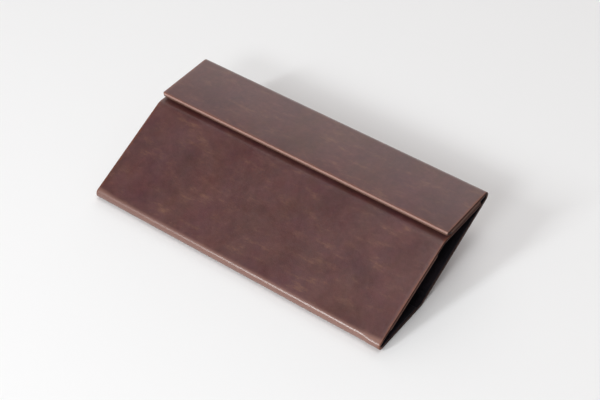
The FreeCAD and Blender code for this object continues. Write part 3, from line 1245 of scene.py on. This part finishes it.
@dataclass(frozen=True)
class Measures:
    """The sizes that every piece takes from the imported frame.

    lines are the hinge lines by joint. lip_tip and flap_tip are the outer corners of the strip's two raw
    edges, lip_skive is how far the lining stops short of the lip's, and gutter_half is half the width of
    the gutter's bend.
    """

    half_length: float
    leather: float
    lining: float
    lining_inset: float
    fold_radius: float
    lines: dict[str, Vector]
    lip_tip: Vector
    lip_skive: float
    flap_tip: Vector
    gutter_half: float

    @classmethod
    def from_frame(cls) -> "Measures":
        """Reads hinge lines and thicknesses from the frame.

        Returns:
            The sizes.
        """
        lines = {joint["name"]: Vector((0.0, *joint["pos_m"][1:])) for joint in frame["joints"]}
        base_low, base_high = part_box("base_leather")
        ledge_low, ledge_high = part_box("ledge_lining")
        flap_low, flap_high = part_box("flap_leather")
        gutter_low, gutter_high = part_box("gutter_lining")
        _, lip_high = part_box("lip_leather")
        lining = ledge_high.z - ledge_low.z
        slope = math.radians(angle_of(lines["flap_open"] - lines["back_fold"]))
        gutter_rise = gutter_high.z - gutter_low.z - lining * math.cos(slope)
        return cls(
            half_length=base_high.x,
            leather=base_high.z - base_low.z,
            lining=lining,
            lining_inset=base_high.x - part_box("base_lining")[1].x,
            fold_radius=lines["front_fold"].z - base_low.z,
            lines=lines,
            lip_tip=Vector((0.0, lip_high.y, lip_high.z)),
            lip_skive=lip_high.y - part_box("lip_lining")[1].y,
            flap_tip=Vector((0.0, flap_low.y, flap_high.z)),
            gutter_half=gutter_rise / math.sin(slope) / 2,
        )

    def strip(self) -> Strip:
        """Lays the whole strip round the hinge lines.

        Returns:
            The strip, from the lip's free edge to the flap's.
        """
        front_angle = angle_of(self.lines["crease_fold"] - self.lines["front_fold"])
        back_angle = angle_of(self.lines["flap_open"] - self.lines["back_fold"])
        walk = StripWalk(self.lip_tip, 180.0)
        self.soft_turn(walk, "crease_fold", front_angle, CREASE_RADIUS)
        self.soft_turn(walk, "front_fold", 180 - front_angle, self.fold_radius)
        self.soft_turn(walk, "back_fold", back_angle, REAR_RADIUS)
        self.soft_turn(walk, "flap_open", 180 - back_angle, self.fold_radius)
        walk.run_to(self.flap_tip)
        return walk.strip()

    def soft_turn(self, walk: StripWalk, joint: str, angle: float, radius: float) -> None:
        """Runs up to a fold line and turns round it, starting early where the bend is softer.

        Args:
            walk: the strip so far.
            joint: the joint whose axis is the fold line.
            angle: how far the strip turns, in degrees.
            radius: the bend's radius on the grain face.
        """
        early = (radius - self.fold_radius) * math.tan(math.radians(angle / 2))
        walk.run_to(self.lines[joint] - turned(walk.heading) * early)
        walk.turn(angle, radius)


@dataclass(frozen=True)
class Layer:
    """The hide or the lining: how it is cut, its materials in the order of Face, and the name of its slot,
    which no piece is given.

    ending closes the names of its pieces.
    """

    cutter: Cutter
    materials: list[Material]
    slot: str
    ending: str

    def panel(self, name: str, strip: Strip, body: str, node: str, free: FreeEdge = FreeEdge.NONE) -> None:
        """Builds a flat piece that rides on one body.

        Args:
            name: what the panel is called.
            strip: its stretch of the strip.
            body: the body that it rides on.
            node: the CAD node that it stands for.
            free: which end is a raw free edge.
        """
        made = self.cutter.piece(name + self.ending, strip, self.materials, free)
        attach(made, body)
        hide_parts(node)


@dataclass(frozen=True)
class Bend:
    """A stretch of the strip that bends between two bodies.

    Its hide runs from first to last along the strip, and its lining from lined_first to lined_last.
    before and after name the bodies on either side, which nothing reads; start and end give where along the
    strip it would pass from one to the other, and the points found there are not used. It stands for the CAD
    nodes, and turn is the bend that it has at rest.
    wear_and_light is how light the bend is half way along the case, partly where bending has lightened the
    wax and partly as painted reflection and highlight, and painted_light_right how much more painted
    highlight it has at the right end. swells says that the right end stands out.
    """

    name: str
    first: float
    last: float
    before: str
    after: str
    start: float
    end: float
    lined_first: float
    lined_last: float
    hide_nodes: tuple[str, ...] = ()
    lining_nodes: tuple[str, ...] = ()
    turn: Turn | None = None
    wear_and_light: float = 0.0
    painted_light_right: float = 0.0
    swells: bool = False


@dataclass(frozen=True)
class Sleeve:
    """The hide and its fold linings: every leather piece that shows, and the lining that bends with it.

    lead is how much flat hide a fold piece keeps on either side of its bend. The reaches go out from the
    lip's hinge line and the gutter's: reach_lip, reach_ledge and reach_ridge to the end of the bend's
    piece, reach_lip_bend and reach_gutter_bend to where the bending ends. The swell stands out by swell
    at most, over swell_share of the front fold, and fades in towards the end of the case.
    """

    measures: Measures
    strip: Strip
    hide: Layer
    lining: Layer
    lead: float = 3.0 * MM
    reach_lip: float = 2.5 * MM
    reach_ledge: float = 2.0 * MM
    reach_lip_bend: float = 1.5 * MM
    reach_ridge: float = 2.4 * MM
    reach_gutter_bend: float = 1.6 * MM
    row_spacing: float = 0.8 * MM
    swell: float = 0.45 * MM
    swell_share: float = 0.75
    swell_end: float = 10.0 * MM
    swell_fade: float = 4.0 * MM

    def build(self) -> None:
        """Builds all the pieces, from the lip round to the flap."""
        crease, front_fold, rear_fold, ridge = self.strip.turns
        lip_line = self.path_of("lip_lift")
        gutter_line = self.path_of("gutter_fold")
        gutter_half = self.measures.gutter_half
        lip_end = lip_line - self.reach_lip
        ledge_start = lip_line + self.reach_ledge
        ridge_start = gutter_line + self.reach_ridge

        self.hide.panel("lip", self.strip.cut(0.0, lip_end), "lip", "lip_leather", FreeEdge.FIRST)
        self.lining.panel("lip", self.strip.cut(self.measures.lip_skive, lip_end), "lip", "lip_lining",
                          FreeEdge.FIRST)
        self.build_bend(Bend(
            "lip_bend", lip_end, ledge_start, "ledge", "lip",
            lip_line + self.reach_lip_bend, lip_line - self.reach_lip_bend, lip_end, ledge_start))
        self.build_bend(Bend(
            "crease", ledge_start, crease.end + self.lead, "front_panel", "ledge",
            crease.end, crease.path, ledge_start, crease.end,
            ("crease_leather", "ledge_leather"), ("crease_lining", "ledge_lining"), crease))
        self.build_panel("front", crease.end, front_fold.path, "front_panel")
        # the front fold is painted lightest: bending of the wax, painted reflection and highlight, rising
        # towards the right end
        self.build_bend(Bend(
            "front_fold", front_fold.path - self.lead, front_fold.end + self.lead, "base", "front_panel",
            front_fold.end, front_fold.path, front_fold.path, front_fold.end,
            ("front_fold_leather",), ("front_fold_lining",), front_fold,
            wear_and_light=0.86, painted_light_right=0.14, swells=True))
        self.build_panel("base", front_fold.end, rear_fold.path, "base")
        self.build_bend(Bend(
            "rear_fold", rear_fold.path - self.lead, rear_fold.end + self.lead, "base", "back_panel",
            rear_fold.path, rear_fold.end, rear_fold.path, rear_fold.end,
            ("rear_fold_leather",), ("rear_fold_lining",), rear_fold, wear_and_light=0.5))
        self.build_panel("back", rear_fold.end, gutter_line, "back_panel")
        self.build_bend(Bend(
            "gutter", gutter_line - self.lead, ridge_start, "back_panel", "ridge",
            gutter_line - self.reach_gutter_bend, gutter_line + self.reach_gutter_bend,
            gutter_line - gutter_half, gutter_line + gutter_half,
            ("gutter_leather", "ridge_strip_leather"), ("gutter_lining",)))
        self.build_bend(Bend(
            "ridge", ridge_start, ridge.end + self.lead, "ridge", "flap",
            ridge.path, ridge.end, ridge.path, ridge.end,
            ("ridge_fold_leather",), ("ridge_fold_lining",), ridge, wear_and_light=0.3))
        self.hide.panel("flap", self.strip.cut(ridge.end + self.lead, self.strip.last), "flap",
                        "flap_leather", FreeEdge.LAST)

    def path_of(self, joint: str) -> float:
        """Where a joint's fold line lies along the strip."""
        return self.strip.locate(self.measures.lines[joint])[0]

    def build_panel(self, name: str, first: float, last: float, body: str) -> None:
        """Builds the flat hide between two folds.

        Args:
            name: what the panel is called.
            first: where the fold before it ends along the strip.
            last: where the fold after it starts.
            body: the body that it rides on.
        """
        strip = self.strip.cut(first + self.lead, last - self.lead)
        self.hide.panel(name, strip, body, name + "_leather")

    def build_bend(self, bend: Bend) -> None:
        """Builds a bend's hide and its lining.

        Args:
            bend: the bend.
        """
        hide = self.hide.cutter.piece(
            bend.name + self.hide.ending, self.strip.cut(bend.first, bend.last), self.hide.materials,
            columns=WORKED_COLUMNS, spacing=self.row_spacing,
            worked=(lambda x, path: self.end_swell(x, path, bend)) if bend.swells else None,
            wear_and_light=(lambda x, path: self.fold_wear_and_painted_light(x, path, bend)) if bend.turn else None)
        lining = self.lining.cutter.piece(
            bend.name + self.lining.ending, self.strip.cut(bend.lined_first, bend.lined_last),
            self.lining.materials, spacing=self.row_spacing)
        start, end = (self.strip.cut(path, self.strip.last).start for path in (bend.start, bend.end))
        for made, slot, nodes in (
                (hide, self.hide.slot, bend.hide_nodes), (lining, self.lining.slot, bend.lining_nodes)):
            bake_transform(made)
            if nodes:
                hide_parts(*nodes)

    def end_swell(self, x: float, path: float, bend: Bend) -> float:
        """How far the right end of a fold stands out, where the glue line under the hide stops short.

        Args:
            x: place along the case.
            path: place along the strip.
            bend: the fold.

        Returns:
            The push outwards.
        """
        round_fold = clamped((path - bend.turn.path) / (self.swell_share * bend.turn.length))
        near_end = eased((self.swell_end - (self.measures.half_length - x)) / self.swell_fade)
        return self.swell * near_end * math.sin(math.pi * round_fold) ** 2

    def fold_wear_and_painted_light(self, x: float, path: float, bend: Bend, rise: float = 2.2 * MM, fall: float = 3.0 * MM,
                  early: float = 1.2 * MM, early_end: float = 1.0 * MM,
                  end_width: float = 12.0 * MM) -> float:
        """How light a bend is: partly where bending has lightened the wax, partly painted reflection and
        highlight; most at its middle and, as painted highlight, more towards the right end.

        Args:
            x: place along the case.
            path: place along the strip.
            bend: the bend.
            rise: how far along the strip the lightening takes to set in.
            fall: how far it takes to fade out.
            early: how far before the bend it sets in.
            early_end: how much earlier it does at both ends of the case.
            end_width: how wide those ends are.

        Returns:
            The lightening, from 0 to 1.
        """
        from_end = self.measures.half_length - abs(x)
        before = early + early_end * clamped(1.0 - from_end / end_width)
        # painted highlight: the lightening grows towards the right end of the case
        most = bend.wear_and_light + bend.painted_light_right * x / self.measures.half_length
        return most * eased((path - bend.turn.path + before) / rise) * eased((bend.turn.end - path) / fall)


@dataclass(frozen=True)
class CarriedNodes:
    """The CAD nodes that show as they are: boards, flat linings, magnets and keepers."""

    finishes: Finishes

    def dress(self) -> None:
        """Gives every carried node the material of its kind."""
        kinds = {
            "flap_lining": self.finishes.skin,
            # painted shade: the base and back boards get the dark board
            "base_board": self.finishes.shade_painted_board,
            "back_board": self.finishes.shade_painted_board,
            "_board": self.finishes.board,
            "_lining": self.finishes.suede,
            "_magnets": self.finishes.magnet,
            "_keepers": self.finishes.keeper,
        }
        for name, node in frame["nodes"].items():
            finish = next((kinds[end] for end in kinds if name.endswith(end)), self.finishes.grain)
            node.data.materials.clear()
            node.data.materials.append(finish.material())
            log.info("%s: %s", name, finish.name)


# ---------------------------------------------------------------- studio

@dataclass(frozen=True)
class SoftBox:
    """A rectangular soft box that faces the case.

    place is where its middle is, size its width and height, and radiance how bright its face is, where 1
    is white.
    """

    name: str
    place: tuple[float, float, float]
    size: tuple[float, float]
    radiance: float
    colour: str

    def build(self) -> None:
        """Adds the light."""
        width, height = self.size
        data = bpy.data.lights.new(self.name, "AREA")
        data.shape = "RECTANGLE"
        data.size, data.size_y = width, height
        data.energy = self.radiance * math.pi * width * height
        data.color = linear(self.colour)[:3]
        light = bpy.data.objects.new(self.name, data)
        light.location = self.place
        light.rotation_euler = (-Vector(self.place)).to_track_quat("-Z", "Y").to_euler()
        bpy.context.scene.collection.objects.link(light)
        log.info("%s", self.name)


@dataclass(frozen=True)
class PaleWall:
    """A part of the room that is brighter than the rest, with a soft border.

    towards is the way from the case to its middle. It is darkest where the cosine of the angle from there
    is dark, and reaches its radiance where the cosine is pale.
    """

    towards: tuple[float, float, float]
    dark: float
    pale: float
    radiance: float


@dataclass(frozen=True)
class Studio:
    """A pale paper floor, a bright wall behind, three soft boxes and a camera."""

    azimuth: float = 35.66
    elevation: float = 43.32
    roll: float = 0.69
    distance: float = 721.6 * MM
    lens: float = 89.24
    aim: tuple[float, float, float] = (6.43 * MM, 1.79 * MM, -1.61 * MM)
    floor_radius: float = 6.0
    room: str = "#fffcfb"
    daylight: str = "#f9fdff"
    ceiling: float = 0.15
    walls: tuple[PaleWall, ...] = (
        PaleWall((-0.45, 0.80, 0.40), 0.69, 0.93, 1.36),     # behind the case, mirrored in the flap
        PaleWall((-0.15, -0.93, 0.33), 0.3, 0.95, 0.38),     # in front, mirrored in the front panel
    )

    def build(self) -> None:
        """Makes the floor, the lights, the world and the camera."""
        self.build_floor()
        self.build_world()
        for light in (
                SoftBox("tall_soft_box", (-0.52, -1.22, 0.87), (0.12, 0.55), 48.0, self.daylight),
                SoftBox("key_soft_box", (0.20, -1.26, 0.84), (0.40, 0.22), 22.0, self.daylight),
                SoftBox("top_soft_box", (0.05, 0.10, 1.5), (0.8, 0.8), 2.95, self.room)):
            light.build()
        self.add_camera()

    def build_floor(self) -> None:
        """Lays the paper floor."""
        mesh = bmesh.new()
        bmesh.ops.create_circle(mesh, cap_ends=True, segments=64, radius=self.floor_radius)
        add_object("paper_floor", mesh, [StudioPaper("studio paper").material()])

    def build_world(self) -> None:
        """Surrounds the case with a dim room that has a bright wall behind and a paler one in front."""
        world = bpy.data.worlds.new("studio walls")
        world.use_nodes = True
        bpy.context.scene.world = world
        tree = world.node_tree
        direction = add_node(tree, "TexCoord").outputs["Generated"]
        level = self.ceiling
        for wall in self.walls:
            facing = add_node(tree, "VectorMath", {"operation": "DOT_PRODUCT"}, {
                0: direction, 1: Vector(wall.towards).normalized()})
            glow = add_node(tree, "MapRange", {"interpolation_type": "SMOOTHSTEP"}, {
                "Value": facing.outputs["Value"], "From Min": wall.dark, "From Max": wall.pale,
                "To Max": wall.radiance})
            level = add_node(tree, "Math", {"operation": "ADD"}, {
                0: level, 1: glow.outputs["Result"]}).outputs[0]
        background = tree.nodes["Background"]
        background.inputs["Color"].default_value = linear(self.room)
        tree.links.new(level, background.inputs["Strength"])

    def add_camera(self) -> None:
        """Adds the camera, aimed at a point near the middle of the case."""
        low, high = cad_bounds
        target = (low + high) / 2 + Vector(self.aim)
        around, up = math.radians(self.azimuth), math.radians(self.elevation)
        back = Vector((math.sin(around) * math.cos(up), -math.cos(around) * math.cos(up), math.sin(up)))
        roll = Quaternion((0.0, 0.0, 1.0), math.radians(self.roll))
        data = bpy.data.cameras.new("camera")
        data.lens = self.lens
        data.sensor_width = 36.0
        data.clip_start = 0.01
        camera = bpy.data.objects.new("camera", data)
        camera.location = target + back * self.distance
        camera.rotation_mode = "QUATERNION"
        camera.rotation_quaternion = (-back).to_track_quat("-Z", "Y") @ roll
        bpy.context.scene.collection.objects.link(camera)
        bpy.context.scene.camera = camera
        bpy.context.scene.view_settings.view_transform = "Standard"


def make_finishes(measures: Measures, strip: Strip) -> Finishes:
    """Chooses the finish of every surface.

    Args:
        measures: the sizes from the frame.
        strip: the whole strip of hide.

    Returns:
        The finishes.
    """
    _, front_fold, _, ridge = strip.turns
    return Finishes(
        grain=PullUpGrain("pull-up hide, grain", measures.half_length, strip.last),
        free_edge=CutHide("pull-up hide, sanded edge", measures.leather, "#ab7f70", "#a8867c"),
        # the base and back ends get painted shade
        ends=DyedEnds(
            "pull-up hide, dyed ends", measures.leather, "#3b251f", "#4a3029", roughness=0.7, specular=0.12,
            front_fold=(front_fold.path, front_fold.end), painted_shade_span=(front_fold.end, ridge.path)),
        flesh=FleshSide("pull-up hide, flesh side"),
        suede=Microsuede("microfibre suede"),
        skin=LiningSkin("flap lining skin", measures.half_length, measures.flap_tip.y),
        board=BondedLeather("bonded leather board", "#7a5649", "#5e4238"),
        # painted shade on the base and back boards
        shade_painted_board=BondedLeather("bonded leather board, painted shade", "#231214", "#1b0d0f"),
        magnet=PlatedDisc("nickel plate", "#c9c6bf", 0.25),
        keeper=PlatedDisc("spring steel", "#a9abae", 0.38),
    )


def main() -> None:
    """Builds the studio and the case."""
    logging.basicConfig(level=logging.INFO, format="%(message)s")
    Studio().build()
    measures = Measures.from_frame()
    strip = measures.strip()
    finishes = make_finishes(measures, strip)
    hide = Cutter(measures.half_length, measures.leather, 0.0, CORNER_RADIUS, EDGE_ROUND)
    lining = Cutter(
        measures.half_length - measures.lining_inset, measures.lining, measures.leather,
        CORNER_RADIUS - measures.lining_inset, 0.0)
    CarriedNodes(finishes).dress()
    Sleeve(
        measures, strip, Layer(hide, finishes.hide_sides(), "hide", "_hide"),
        Layer(lining, finishes.suede_sides(), "lining", "_suede")).build()
    bpy.context.view_layer.update()


if __name__ == "__main__":
    main()
